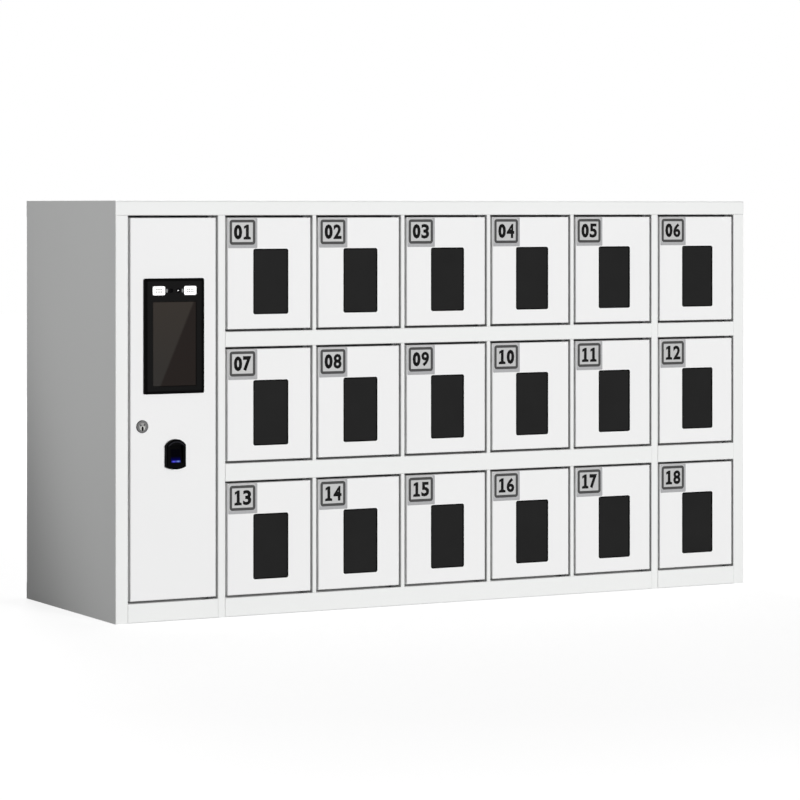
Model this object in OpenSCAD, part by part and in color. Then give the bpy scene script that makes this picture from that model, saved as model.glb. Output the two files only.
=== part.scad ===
// Eighteen-door cell phone locker box with a control bay, in folded and painted steel sheet.
// X runs along the front, Y from the front to the back, Z up. The origin is the centre of the base.
// Every module works from the cabinet's front left bottom corner, and in_frame() moves it to the origin.

/* [Cabinet] */
// Depth from the front of the frame to the outside of the rear panel
cabinet_depth = 430; // [360:5:600]
// Face width of the two side posts
side_post_w = 24; // [20:0.5:40]
// Face width of the full-height posts beside the control bay and before the last column
wide_post_w = 15; // [12:0.5:30]
// Face width of the narrow uprights between the other columns
mullion_w = 8; // [7:0.5:16]
// Height of the rail over the top row of doors
top_rail_h = 26.5; // [20:0.5:50]
// Height of the rail under the top row of doors
upper_rail_h = 28; // [20:0.5:50]
// Height of the rail under the middle row of doors
lower_rail_h = 32.5; // [20:0.5:50]
// Height of the rail under the bottom row of doors
base_rail_h = 34.5; // [34:0.5:60]

/* [Sheet metal] */
// Thickness of the cabinet's sheet
sheet_t = 1.2; // [0.8:0.1:2]
// Thickness of the doors' sheet
door_t = 1; // [0.8:0.1:1.6]
// Inside radius of every fold
bend_r = 0.8; // [0.4:0.1:1.2]
// Depth of the lip that each rail turns back over the doors
rail_lip_d = 22; // [20:0.5:30]
// Width of the flanges that carry the rear panel
rear_flange_w = 30; // [24:0.5:33]
// Set-in of the rear panel's edges from the cabinet's sides
rear_inset = 1; // [0.5:0.5:4]

/* [Locker doors] */
// Width of a locker door
door_w = 167; // [140:0.5:260]
// Height of a locker door
door_h = 201.5; // [185:0.5:320]
// Depth of the folded edges of every door
door_depth = 15; // [14:0.5:16]
// Gap round every door
door_gap = 4; // [3:0.1:4.5]
// Width of the window
window_w = 70.5; // [50:0.5:80]
// Height of the window
window_h = 118.5; // [80:0.5:130]
// Distance from a door's free edge to its window
window_side = 51.2; // [46:0.1:60]
// Distance from a door's lower edge to its window
window_sill = 26.5; // [20:0.5:40]
// Corner radius of the window
window_r = 4; // [2:0.5:8]
// Thickness of the window pane
pane_t = 3; // [2:0.5:4]
// Width of the pane that is glued behind the door round the window
pane_lap = 9; // [5:0.5:12]

/* [Hinges] */
// Distance from a door's hinged edge to its pivot axis
hinge_inset = 9.5; // [9:0.1:10]
// Distance from a door's front to its pivot axis
hinge_setback = 7.5; // [7:0.1:8]
// Diameter of the pivot pins
pin_d = 5; // [4:0.5:6]
// Radial clearance of a pivot pin in its bush
pin_clearance = 0.05; // [0.02:0.01:0.09]
// Length of pin beyond the door's edge
pin_reach = 8; // [7:0.5:10]
// Diameter of the bushes where they pass through the sheet
bush_d = 8; // [7.5:0.5:9]
// Diameter of the bushes' flanges
bush_flange_d = 11; // [10:0.5:12]
// Free play between a bush's flange and the door
bush_play = 0.3; // [0.2:0.05:0.5]

/* [Electric locks] */
// Width of a lock case, across the opening
lock_w = 26; // [24:0.5:30]
// Depth of a lock case
lock_d = 62; // [45:1:80]
// Height of a lock case
lock_h = 48; // [36:1:70]
// Width of the stop that each post turns in behind the door's free edge
stop_w = 6; // [4:0.5:6.5]
// Gap between the closed door's folded edge and the stop
stop_gap = 1; // [0.5:0.1:2]
// Thickness of the strike on the door
strike_t = 3; // [2:0.5:4]
// Length of the strike behind the door's folded edge
strike_reach = 16; // [12:0.5:20]
// Width of the strike
strike_w = 8; // [7:0.5:10]
// Distance from the door's free edge to the strike
strike_side = 7; // [7:0.5:8]
// Clearance above and below the strike in its lock
strike_clearance = 1.5; // [1:0.1:2]

/* [Control bay] */
// Width of the control door
control_door_w = 167; // [150:0.5:260]
// Width of the face terminal
terminal_w = 116; // [100:0.5:130]
// Height of the face terminal
terminal_h = 206; // [190:0.5:240]
// Height of the terminal's lower edge over the control door's lower edge
terminal_sill = 367; // [360:0.5:420]
// How far the terminal stands in front of the door
terminal_proud = 6; // [4:0.5:10]
// Depth of the terminal's body behind the door's face
terminal_body_d = 24; // [18:0.5:40]
// Width of the bezel that laps over the door round the cut-out
terminal_lap = 7; // [4:0.5:10]
// Width of the screen
screen_w = 85; // [70:0.5:90]
// Height of the screen
screen_h = 152; // [130:0.5:160]
// Height of the screen over the terminal's lower edge
screen_sill = 13; // [8:0.5:20]
// Width of each fill lamp
lamp_w = 24; // [16:0.5:26]
// Height of each fill lamp
lamp_h = 16; // [10:0.5:18]
// Sideways distance of each lamp's centre from the terminal's centre
lamp_offset = 30.5; // [26:0.5:34]
// Height of the lamps and lenses over the terminal's lower edge
optics_height = 184; // [182:0.5:190]
// Diameter of each camera lens
lens_d = 8; // [6:0.5:10]
// Sideways distance of each lens from the terminal's centre
lens_offset = 7; // [6:0.5:9]
// Width of the fingerprint reader
reader_w = 38; // [32:0.5:44]
// Height of the fingerprint reader
reader_h = 54; // [46:0.5:64]
// Height of the reader's lower edge over the control door's lower edge
reader_sill = 232; // [200:0.5:250]
// Sideways offset of the reader from the control door's centreline
reader_offset = 2.5; // [0:0.5:6]
// How far the reader stands in front of the door
reader_proud = 9; // [7:0.5:14]
// Distance from the control door's free edge to the cam lock's axis
cam_lock_side = 23; // [22:0.5:28]
// Height of the cam lock's axis over the control door's lower edge
cam_lock_height = 310; // [300:0.5:350]
// Diameter of the cam lock's bezel
cam_bezel_d = 23; // [20:0.5:28]
// Diameter of the cam lock's barrel
cam_barrel_d = 18; // [16:0.5:19]
// Diameter of the turning plug
cam_plug_d = 13; // [11:0.5:14]
// Length of the cam from the lock's axis to its tip
cam_length = 38; // [34:0.5:42]

/* [Rear] */
// Depth of the wiring duct behind the compartments
duct_depth = 45; // [36:1:70]
// Thread diameter of the wall-fixing nuts
wall_nut_d = 8; // [6:1:10]
// Height of the lower pair of wall-fixing nuts
wall_nut_z = 125; // [100:1:160]
// Distance between the lower and the upper pair of wall-fixing nuts
wall_nut_rise = 500; // [400:1:540]
// Length of each ventilation slot
vent_w = 60; // [40:1:100]
// Width of each ventilation slot
vent_h = 4; // [3:0.5:5]

/* [Hidden] */
$fn = 48;
columns = 6;
rows = 3;
doors = columns * rows;

open_w = door_w + 2 * door_gap;
open_h = door_h + 2 * door_gap;
bay_open_w = control_door_w + 2 * door_gap;
rails = [top_rail_h, upper_rail_h, lower_rail_h, base_rail_h];

bay_x = side_post_w;
bay_post_x = bay_x + bay_open_w;
column_post_x = col_x(columns - 1) - wide_post_w;
body_w = col_x(columns - 1) + open_w + side_post_w;
opening_top_z = row_z(0) + open_h;
body_h = opening_top_z + top_rail_h;
control_door_h = opening_top_z - base_rail_h - 2 * door_gap;

stop_y = door_depth + stop_gap;
back_y = cabinet_depth - sheet_t;
inner_back_y = back_y - duct_depth;
inner_back_flange_d = 15;
flange_relief = 0.5;
fit_gap = 0.3;
inlay_gap = 0.2;

strike_mid_z = door_h / 2;
lock_x = sheet_t - mullion_w;
lock_y = stop_y + sheet_t;
lock_slot_d = strike_reach + 4;
plug_d = 9;
wire_hole_d = 12;
duct_hole_d = 34;

paint = "#ededed";
dark = "#1c1c1e";
steel = "#b9bcc0";

function two_digits(n) = str(n < 10 ? "0" : "", n);
function door_name(i) = str("door_", two_digits(i + 1));
function window_name(i) = str("window_", two_digits(i + 1));

// Left edge of an opening in column c, counted from 0 beside the control bay
function col_x(c) =
    side_post_w + bay_open_w + wide_post_w + c * (open_w + mullion_w)
    + (c == columns - 1 ? wide_post_w - mullion_w : 0);

// Lower edge of an opening in row r, counted from 0 at the top
function row_z(r) = r == rows - 1 ? rails[rows] : row_z(r + 1) + open_h + rails[r + 1];

function door_col(i) = i % columns;
function door_row(i) = floor(i / columns);
function hinge_x(c) = col_x(c) + door_gap + door_w - hinge_inset;
function plug_x(c) = col_x(c) + lock_x + 11;
bay_hinge_x = bay_x + door_gap + control_door_w - hinge_inset;
control_door_x = bay_x + door_gap;
control_door_z = base_rail_h + door_gap;
control_mid_x = control_door_x + control_door_w / 2;

// Folded sheet: a strip of thickness t on the left of a path of square corners, with rounded bends
function left_of(d) = [-d[1], d[0]];
function unit(v) = v / norm(v);
function bend(p, d1, d2, off, t) =
    let (side = sign(d1[0] * d2[1] - d1[1] * d2[0]))
    let (r = bend_r + (side > 0 ? t : 0))
    [for (a = [0 : 30 : 90]) p + r * (d2 - d1) + (r - side * off) * (d1 * sin(a) - d2 * cos(a))];
function strip_side(path, off, t) =
    let (last = len(path) - 1)
    let (d = [for (i = [0 : last - 1]) unit(path[i + 1] - path[i])])
    concat(
        [path[0] + off * left_of(d[0])],
        [for (i = [1 : 1 : last - 1]) each bend(path[i], d[i - 1], d[i], off, t)],
        [path[last] + off * left_of(d[last - 1])]
    );
function reversed(list) = [for (i = [len(list) - 1 : -1 : 0]) list[i]];

module folded(path, t = sheet_t) {
    polygon(concat(strip_side(path, 0, t), reversed(strip_side(path, t, t))));
}

module in_frame() {
    translate([-body_w / 2, -cabinet_depth / 2, 0]) children();
}

// A plan outline raised from z0 to z1
module upright(z0, z1) {
    translate([0, 0, z0]) linear_extrude(z1 - z0) children();
}

// A side outline in Y and Z drawn out from x0 to x1
module along_x(x0, x1) {
    translate([x0, 0, 0]) rotate([90, 0, 90]) linear_extrude(x1 - x0) children();
}

// A front outline in X and Z drawn out from y0 to y1
module along_y(y0, y1) {
    translate([0, y1, 0]) rotate([90, 0, 0]) linear_extrude(y1 - y0) children();
}

module block(low, high) {
    translate(low) cube(high - low);
}

module rounded_rect(w, h, r) {
    translate([r, 0]) square([w - 2 * r, h]);
    translate([0, r]) square([w, h - 2 * r]);
    for (x = [r, w - r], y = [r, h - r]) translate([x, y]) circle(r);
}

module hole_z(x, y, z, d) {
    translate([x, y, z - sheet_t]) cylinder(d = d, h = 3 * sheet_t);
}

// Holes for the bushes under and over a door whose hinge is at x
module bush_holes(x, z) {
    hole_z(x, hinge_setback, z - sheet_t, bush_d);
}

// Side panels

// The skin over the post's height and above it, the rear flange and the plain corners over and under it
module side_skin() {
    flange_z = rear_flange_w + flange_relief;
    fold_y = back_y - rear_flange_w / 2;
    top_z = body_h - sheet_t;
    along_x(0, sheet_t) polygon([
        [sheet_t, opening_top_z], [fold_y, opening_top_z], [fold_y, top_z],
        [sheet_t + bend_r, top_z], [sheet_t, top_z - bend_r]
    ]);
    block([0, fold_y, 0], [sheet_t, back_y, flange_z]);
    block([0, fold_y, body_h - flange_z], [sheet_t, back_y, body_h - sheet_t]);
    upright(flange_z, body_h - flange_z) {
        folded([[rear_flange_w, back_y], [0, back_y], [0, fold_y]]);
    }
}

module wall_nuts(d, y0, y1) {
    for (z = [wall_nut_z, wall_nut_z + wall_nut_rise]) {
        translate([rear_flange_w / 2, y1, z]) rotate([90, 0, 0]) cylinder(d = d, h = y1 - y0);
    }
}

module side_panel(post_path) {
    nut_depth = 0.8 * wall_nut_d;
    difference() {
        union() {
            upright(0, opening_top_z) {
                folded(concat([[0, back_y - rear_flange_w / 2], [0, 0]], post_path));
            }
            side_skin();
            wall_nuts(1.75 * wall_nut_d, back_y - sheet_t - nut_depth, back_y - sheet_t);
        }
        wall_nuts(wall_nut_d, back_y - sheet_t - nut_depth - 1, back_y + 1);
    }
}

module left_side_panel() color(paint) in_frame() {
    side_panel([
        [side_post_w, 0], [side_post_w, stop_y], [side_post_w + stop_w, stop_y]
    ]);
}

module right_side_panel() color(paint) in_frame() {
    translate([body_w, 0, 0]) mirror([1, 0, 0]) {
        side_panel([[side_post_w, 0], [side_post_w, rail_lip_d]]);
        block([side_post_w - sheet_t, rail_lip_d, sheet_t], [side_post_w, inner_back_y, body_h - sheet_t]);
    }
}

// Top, bottom and rear

// The roof sheet lies over the side panels and on the header rail, which shows below its front edge
module top_panel() color(paint) in_frame() {
    roof = [[back_y, body_h], [0, body_h]];
    along_x(0, sheet_t) folded(roof);
    along_x(body_w - sheet_t, body_w) folded(roof);
    along_x(sheet_t, body_w - sheet_t) folded(concat([[back_y, body_h - rear_flange_w]], roof));
}

module bottom_panel() color(paint) in_frame() {
    along_x(sheet_t, body_w - sheet_t) {
        folded([[rail_lip_d, 0], [back_y, 0], [back_y, rear_flange_w]]);
    }
}

vent_pitch = 3 * vent_h;
vent_count = 8;
inlet_side = 111.5;
inlet_x = inlet_side;
inlet_z = 120;
inlet_cut_w = 27.5;
inlet_cut_h = 20;
inlet_d = 24;

module vents() {
    for (k = [0 : vent_count - 1]) {
        translate([control_mid_x - vent_w / 2, body_h - 100 - k * vent_pitch]) {
            rounded_rect(vent_w, vent_h, vent_h / 2 - 0.01);
        }
    }
}

module rear_panel() color(paint) in_frame() {
    difference() {
        block([rear_inset, back_y, rear_inset], [body_w - rear_inset, cabinet_depth, body_h - rear_inset]);
        wall_nuts(wall_nut_d + 1, back_y - 1, cabinet_depth + 1);
        translate([body_w, 0, 0]) mirror([1, 0, 0]) {
            wall_nuts(wall_nut_d + 1, back_y - 1, cabinet_depth + 1);
        }
        along_y(back_y - 1, cabinet_depth + 1) {
            vents();
            translate([inlet_x - inlet_cut_w / 2, inlet_z - inlet_cut_h / 2]) {
                square([inlet_cut_w, inlet_cut_h]);
            }
        }
    }
}

// Posts, partitions and dividers

// The folded front of an upright, from its hinged side round to the stop of the next door
module post_fold(x, w) {
    folded([[x, rail_lip_d], [x, 0], [x + w, 0], [x + w, stop_y], [x + w + stop_w, stop_y]]);
}

module bay_partition() color(paint) in_frame() {
    x = bay_post_x;
    rear_y = back_y - sheet_t;
    top_z = body_h - sheet_t;
    difference() {
        union() {
            upright(0, opening_top_z) post_fold(x, wide_post_w);
            along_x(x, x + sheet_t) polygon([
                [rail_lip_d, sheet_t], [rear_y - bend_r, sheet_t], [rear_y, sheet_t + bend_r],
                [rear_y, top_z - bend_r], [rear_y - bend_r, top_z], [rail_lip_d, top_z]
            ]);
        }
        translate([x - 1, (inner_back_y + back_y) / 2, row_z(1) + open_h / 2]) {
            rotate([0, 90, 0]) cylinder(d = duct_hole_d, h = sheet_t + 2);
        }
    }
}

module column_dividers() color(paint) in_frame() {
    // the full-height one before the last column
    upright(0, opening_top_z) post_fold(column_post_x, wide_post_w);
    block(
        [column_post_x, rail_lip_d, sheet_t],
        [column_post_x + sheet_t, inner_back_y, body_h - sheet_t]
    );
    // the short ones between the rails
    for (r = [0 : rows - 1], c = [0 : columns - 3]) {
        x = col_x(c) + open_w;
        z = row_z(r);
        upright(z, z + open_h) post_fold(x, mullion_w);
        block([x, rail_lip_d, z], [x + sheet_t, inner_back_y, z + open_h + rails[r] - sheet_t]);
    }
}

// Shelves: the floor of each row, folded down at the front into the rail and back into its lip

module shelf(x0, x1, pocket_x, z, rail_h, rear_y) {
    pocket_y = stop_y + sheet_t + fit_gap;
    difference() {
        along_x(x0, x1) folded([[rear_y, z], [0, z], [0, z - rail_h], [rail_lip_d, z - rail_h]]);
        // notch for the stop lip of the post beside it
        block(
            [x0 - 1, stop_y - fit_gap, z - rail_h - 1],
            [x0 + stop_w + fit_gap, pocket_y, z + 1]
        );
    }
    block([pocket_x, pocket_y, z - sheet_t], [x0 + 1, rear_y, z]);
}

module row_shelves(r) {
    z = row_z(r);
    rail_h = rails[r + 1];
    shelf(col_x(0), column_post_x, bay_post_x + sheet_t, z, rail_h, inner_back_y);
    last_x = col_x(columns - 1);
    shelf(last_x, body_w - side_post_w, column_post_x + sheet_t, z, rail_h, inner_back_y);
}

// The channel over the doors, with plain ends that cover the side panels' front corners
module header_rail() {
    top_z = body_h - sheet_t;
    face = [[0, top_z], [0, opening_top_z]];
    along_x(0, sheet_t) folded(face);
    along_x(body_w - sheet_t, body_w) folded(face);
    difference() {
        along_x(sheet_t, body_w - sheet_t) {
            folded(concat([[rail_lip_d, top_z]], face, [[rail_lip_d, opening_top_z]]));
        }
        hole_z(bay_hinge_x, hinge_setback, opening_top_z, bush_d);
        for (c = [0 : columns - 1]) hole_z(hinge_x(c), hinge_setback, opening_top_z, bush_d);
    }
}

module shelves() color(paint) in_frame() {
    header_rail();
    difference() {
        union() {
            for (r = [0 : rows - 1]) row_shelves(r);
            shelf(bay_x, bay_post_x, sheet_t, base_rail_h, base_rail_h, back_y - sheet_t);
        }
        hole_z(bay_hinge_x, hinge_setback, base_rail_h - sheet_t, bush_d);
        for (r = [0 : rows - 1], c = [0 : columns - 1]) {
            z = row_z(r);
            hole_z(hinge_x(c), hinge_setback, z - sheet_t, bush_d);
            if (r < rows - 1) hole_z(hinge_x(c), hinge_setback, z - rails[r + 1], bush_d);
        }
    }
}

module inner_back() color(paint) in_frame() {
    y = inner_back_y;
    top = body_h - sheet_t;
    difference() {
        along_x(bay_post_x + sheet_t, body_w - sheet_t) {
            folded([
                [y + inner_back_flange_d, top], [y, top],
                [y, sheet_t], [y + inner_back_flange_d, sheet_t]
            ]);
        }
        for (r = [0 : rows - 1], c = [0 : columns - 1]) {
            translate([plug_x(c), y - 1, row_z(r) + open_h / 2]) {
                rotate([-90, 0, 0]) cylinder(d = wire_hole_d, h = sheet_t + 2);
            }
        }
    }
}

// Locks and bushes

module door_lock(c, r) {
    x = col_x(c) + lock_x;
    z = row_z(r) + door_gap + strike_mid_z;
    slot_x = col_x(c) + door_gap + strike_side - 3;
    slot_h = strike_t + 2 * strike_clearance;
    difference() {
        along_x(x, x + lock_w) {
            translate([lock_y, z - lock_h / 2]) rounded_rect(lock_d, lock_h, 2);
        }
        block(
            [slot_x, lock_y - 1, z - slot_h / 2],
            [x + lock_w + 1, lock_y + lock_slot_d, z + slot_h / 2]
        );
    }
    // socket and plug of the lock's lead
    block(
        [plug_x(c) - 5, lock_y + lock_d, z - 6],
        [plug_x(c) + 5, lock_y + lock_d + plug_d, z + 6]
    );
}

module door_locks() color(steel) in_frame() {
    for (r = [0 : rows - 1], c = [0 : columns - 1]) door_lock(c, r);
}

// A flanged bush whose flange stands up from z = 0 into the gap and whose collar goes down
module bush() {
    collar = pin_reach - door_gap;
    difference() {
        union() {
            cylinder(d = bush_flange_d, h = door_gap - bush_play);
            translate([0, 0, -collar]) cylinder(d = bush_d, h = collar + 1);
        }
        translate([0, 0, -collar - 1]) {
            cylinder(d = pin_d + 2 * pin_clearance, h = collar + door_gap + 2);
        }
    }
}

module bush_pair(x, z0, z1) {
    translate([x, hinge_setback, z0]) bush();
    translate([x, hinge_setback, z1]) mirror([0, 0, 1]) bush();
}

module hinge_bushes() color("#f4f4f0") in_frame() {
    for (r = [0 : rows - 1], c = [0 : columns - 1]) {
        bush_pair(hinge_x(c), row_z(r), row_z(r) + open_h);
    }
    bush_pair(bay_hinge_x, base_rail_h, opening_top_z);
}

// Doors

// Outline of a pan's cross-section from a to b, rounded at the front and open at the back
function pan_outline(a, b, front, back, r) = concat(
    [[a, back]],
    [for (t = [0 : 30 : 90]) [a + r - r * cos(t), front + r - r * sin(t)]],
    [for (t = [90 : -30 : 0]) [b - r + r * cos(t), front + r - r * sin(t)]],
    [[b, back]]
);
function swapped(points) = [for (p = points) [p[1], p[0]]];

module pan_block(w, h, inset, back) {
    r = bend_r + door_t - inset;
    intersection() {
        upright(inset, h - inset) polygon(pan_outline(inset, w - inset, inset, back, r));
        along_x(inset, w - inset) polygon(swapped(pan_outline(inset, h - inset, inset, back, r)));
    }
}

module pivot(reach) {
    boss_h = 6;
    translate([0, 0, -door_t - boss_h]) cylinder(d = 2 * pin_d, h = boss_h + door_t / 2);
    translate([0, 0, -door_t - boss_h]) cylinder(d = pin_d, h = boss_h + door_t + reach);
}

// A folded door pan with its pivot pins, its front at y = 0 and its free edge at x = 0
module door_pan(w, h) {
    difference() {
        pan_block(w, h, 0, door_depth);
        pan_block(w, h, door_t, door_depth + 1);
    }
    translate([w - hinge_inset, hinge_setback, h]) pivot(pin_reach);
    translate([w - hinge_inset, hinge_setback, 0]) mirror([0, 0, 1]) pivot(pin_reach);
}

module strike() {
    tail = door_depth + strike_reach;
    foot_h = 26;
    difference() {
        union() {
            block(
                [strike_side, door_t / 2, strike_mid_z - strike_t / 2],
                [strike_side + strike_w, tail, strike_mid_z + strike_t / 2]
            );
            block(
                [strike_side, door_t / 2, strike_mid_z - foot_h / 2],
                [strike_side + strike_w, door_t + strike_t / 2, strike_mid_z + foot_h / 2]
            );
        }
        translate([strike_side + strike_w / 2, tail - strike_w / 2 - 1, strike_mid_z - strike_t]) {
            cylinder(d = strike_w / 2, h = 2 * strike_t);
        }
    }
}

module locker_door(i) color(paint) in_frame() {
    translate([col_x(door_col(i)) + door_gap, 0, row_z(door_row(i)) + door_gap]) {
        difference() {
            door_pan(door_w, door_h);
            along_y(-1, door_t + 1) {
                translate([window_side, window_sill]) rounded_rect(window_w, window_h, window_r);
            }
        }
        strike();
    }
}

module window_pane(i) color(dark) in_frame() {
    translate([col_x(door_col(i)) + door_gap, 0, row_z(door_row(i)) + door_gap]) {
        along_y(door_t, door_t + pane_t) {
            translate([window_side - pane_lap, window_sill - pane_lap]) {
                rounded_rect(window_w + 2 * pane_lap, window_h + 2 * pane_lap, window_r);
            }
        }
    }
}

// Control door and what it carries

module in_control_door() {
    in_frame() translate([control_door_x, 0, control_door_z]) children();
}

terminal_x = (control_door_w - terminal_w) / 2;
terminal_mid_x = control_door_w / 2;
reader_x = control_door_w / 2 + reader_offset - reader_w / 2;
reader_wall = 3;

module terminal_cut(extra) {
    translate([terminal_x + terminal_lap - extra, terminal_sill + terminal_lap - extra]) {
        rounded_rect(terminal_w - 2 * (terminal_lap - extra), terminal_h - 2 * (terminal_lap - extra), 3);
    }
}

module reader_outline(inset) {
    arch_r = reader_w * 0.58;
    foot_r = reader_w * 1.1;
    mid = reader_x + reader_w / 2;
    intersection() {
        translate([reader_x + inset, reader_sill + inset]) {
            square([reader_w - 2 * inset, reader_h - 2 * inset]);
        }
        union() {
            translate([mid, reader_sill + reader_h - arch_r]) circle(arch_r - inset);
            translate([reader_x, reader_sill]) square([reader_w, reader_h - arch_r]);
        }
        union() {
            translate([mid, reader_sill + foot_r]) circle(foot_r - inset, $fn = 96);
            translate([reader_x, reader_sill + foot_r]) square([reader_w, reader_h]);
        }
    }
}

module control_door() color(paint) in_control_door() {
    difference() {
        door_pan(control_door_w, control_door_h);
        along_y(-1, door_t + 1) {
            terminal_cut(fit_gap);
            reader_outline(reader_wall - fit_gap);
            translate([cam_lock_side, cam_lock_height]) circle(d = cam_barrel_d + 2 * fit_gap);
        }
    }
}

screen_x = terminal_mid_x - screen_w / 2;
screen_z = terminal_sill + screen_sill;
optics_z = terminal_sill + optics_height;
inlay_d = 3;

module lamp_outline(extra) {
    for (side = [-1, 1]) {
        translate([terminal_mid_x + side * lamp_offset, optics_z]) {
            translate([-lamp_w / 2 - extra, -lamp_h / 2 - extra]) {
                rounded_rect(lamp_w + 2 * extra, lamp_h + 2 * extra, 3);
            }
        }
    }
}

module lens_outline(extra) {
    for (side = [-1, 1]) {
        translate([terminal_mid_x + side * lens_offset, optics_z]) circle(d = lens_d + 2 * extra);
    }
}

// A block with its front at y = 0 and the four edges of its front rounded
module soft_front(w, h, d, edge_r, corner_r) {
    intersection() {
        along_y(0, d) rounded_rect(w, h, corner_r);
        upright(0, h) polygon(pan_outline(0, w, 0, d, edge_r));
        along_x(0, w) polygon(swapped(pan_outline(0, h, 0, d, edge_r)));
    }
}

module terminal_housing() color(dark) in_control_door() {
    difference() {
        union() {
            translate([terminal_x, -terminal_proud, terminal_sill]) {
                soft_front(terminal_w, terminal_h, terminal_proud, 2, 3);
            }
            along_y(-1, terminal_body_d) terminal_cut(0);
        }
        along_y(-terminal_proud - 1, inlay_d - terminal_proud) {
            translate([screen_x - inlay_gap, screen_z - inlay_gap]) {
                square([screen_w + 2 * inlay_gap, screen_h + 2 * inlay_gap]);
            }
            lamp_outline(inlay_gap);
            lens_outline(inlay_gap);
        }
    }
}

module terminal_screen() color("#35302c") in_control_door() {
    along_y(inlay_gap - terminal_proud, inlay_d - terminal_proud) {
        translate([screen_x, screen_z]) square([screen_w, screen_h]);
    }
}

module terminal_lamps() color("white") in_control_door() {
    along_y(inlay_gap - terminal_proud, inlay_d - terminal_proud) lamp_outline(0);
}

module camera_lenses() color("#0a0a0c") in_control_door() {
    for (side = [-1, 1]) {
        translate([terminal_mid_x + side * lens_offset, inlay_d - terminal_proud, optics_z]) {
            rotate([90, 0, 0]) {
                difference() {
                    cylinder(d = lens_d, h = inlay_d - inlay_gap);
                    translate([0, 0, inlay_d - inlay_gap - 0.8]) {
                        cylinder(d1 = lens_d / 3, d2 = lens_d * 0.8, h = 1);
                    }
                }
            }
        }
    }
}

// Fingerprint reader: an arched hood over a sloping finger rest with the sensor's glass in it

reader_bevel = 2;
rest_slope = 10;
rest_r = 13;
sensor_w = 18;
sensor_h = 24;
sensor_t = 1.5;
sensor_z = reader_sill + 12;

module on_finger_rest() {
    translate([reader_x + reader_w / 2, -reader_proud + 2.6, sensor_z]) {
        rotate([-rest_slope, 0, 0]) children();
    }
}

module fingerprint_reader() color("#101014") in_control_door() {
    difference() {
        union() {
            hull() {
                along_y(reader_bevel - reader_proud, 0) reader_outline(0);
                along_y(-reader_proud, -1) reader_outline(reader_bevel);
            }
            along_y(-1, door_depth) reader_outline(reader_wall);
        }
        on_finger_rest() {
            block([-rest_r, -2 * reader_proud, -1.5], [rest_r, 0, sensor_h + 6]);
            block(
                [-sensor_w / 2 - inlay_gap, -1, -inlay_gap],
                [sensor_w / 2 + inlay_gap, sensor_t, sensor_h + inlay_gap]
            );
        }
    }
}

module fingerprint_window() color("#16204a") in_control_door() {
    on_finger_rest() block([-sensor_w / 2, 0.1, 0], [sensor_w / 2, sensor_t, sensor_h]);
}

// Cam lock: bezel and barrel clamped in the door, and the plug that turns the cam

cam_bezel_t = 2;
cam_y = stop_y + sheet_t + 2;
cam_t = 2.5;
cam_w = 16;
plug_clearance = 0.05;

module at_cam_lock() {
    translate([cam_lock_side, 0, cam_lock_height]) rotate([90, 0, 0]) children();
}

module lock_barrel() color(steel) in_control_door() {
    at_cam_lock() difference() {
        union() {
            translate([0, 0, cam_bezel_t / 2]) {
                cylinder(d1 = cam_bezel_d, d2 = cam_bezel_d - 2, h = cam_bezel_t / 2);
            }
            cylinder(d = cam_bezel_d, h = cam_bezel_t / 2);
            translate([0, 0, -cam_y + 0.5]) cylinder(d = cam_barrel_d, h = cam_y);
            translate([0, 0, -door_t - 5]) cylinder(d = cam_barrel_d + 8, h = 5, $fn = 6);
        }
        translate([0, 0, -cam_y - 1]) {
            cylinder(d = cam_plug_d + 2 * plug_clearance, h = cam_y + cam_bezel_t + 2);
        }
    }
}

module lock_plug() color(steel) in_control_door() {
    at_cam_lock() {
        difference() {
            translate([0, 0, -cam_y]) cylinder(d = cam_plug_d, h = cam_y + cam_bezel_t - 0.2);
            translate([-1.1, -cam_plug_d / 2 + 1, cam_bezel_t - 10]) cube([2.2, 7, 11]);
        }
        translate([0, 0, -cam_y - cam_t]) {
            linear_extrude(cam_t) {
                circle(d = cam_w);
                translate([-cam_w / 2, 0]) square([cam_w, cam_length - cam_w / 4]);
                translate([-cam_w / 4, 0]) square([cam_w / 2, cam_length]);
                for (x = [-cam_w / 4, cam_w / 4]) {
                    translate([x, cam_length - cam_w / 4]) circle(d = cam_w / 2);
                }
            }
        }
        translate([0, 0, -cam_y - cam_t - 4]) cylinder(d = 11, h = 4.5, $fn = 6);
    }
}

// Electrics in the control bay

supply_w = 98;
supply_d = 159;
supply_h = 38;
supply_x = bay_x + 30;
supply_rear_gap = 81;
supply_y = cabinet_depth - supply_d - supply_rear_gap;
screw_h = 6;

module power_supply() color(steel) in_frame() {
    strip_d = 20;
    strip_h = 12;
    translate([supply_x, supply_y, base_rail_h]) {
        difference() {
            cube([supply_w, supply_d, supply_h]);
            // open terminal strip at the rear end
            block([6, supply_d - strip_d, strip_h], [supply_w - 6, supply_d + 1, supply_h + 1]);
            for (k = [0 : 7]) {
                translate([12 + k * 10, 45, supply_h - 4]) cube([4, 60, 5]);
            }
        }
        for (k = [0 : 6]) {
            translate([13 + k * 12, supply_d - strip_d / 2, strip_h]) cylinder(d = 6, h = screw_h);
        }
    }
}

board_d = 120;
board_h = 190;
board_t = 1.6;
standoff = 10;
board_rear_gap = 100;
board_y = cabinet_depth - board_d - board_rear_gap;
board_z = 260;
socket_h = 9;

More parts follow.
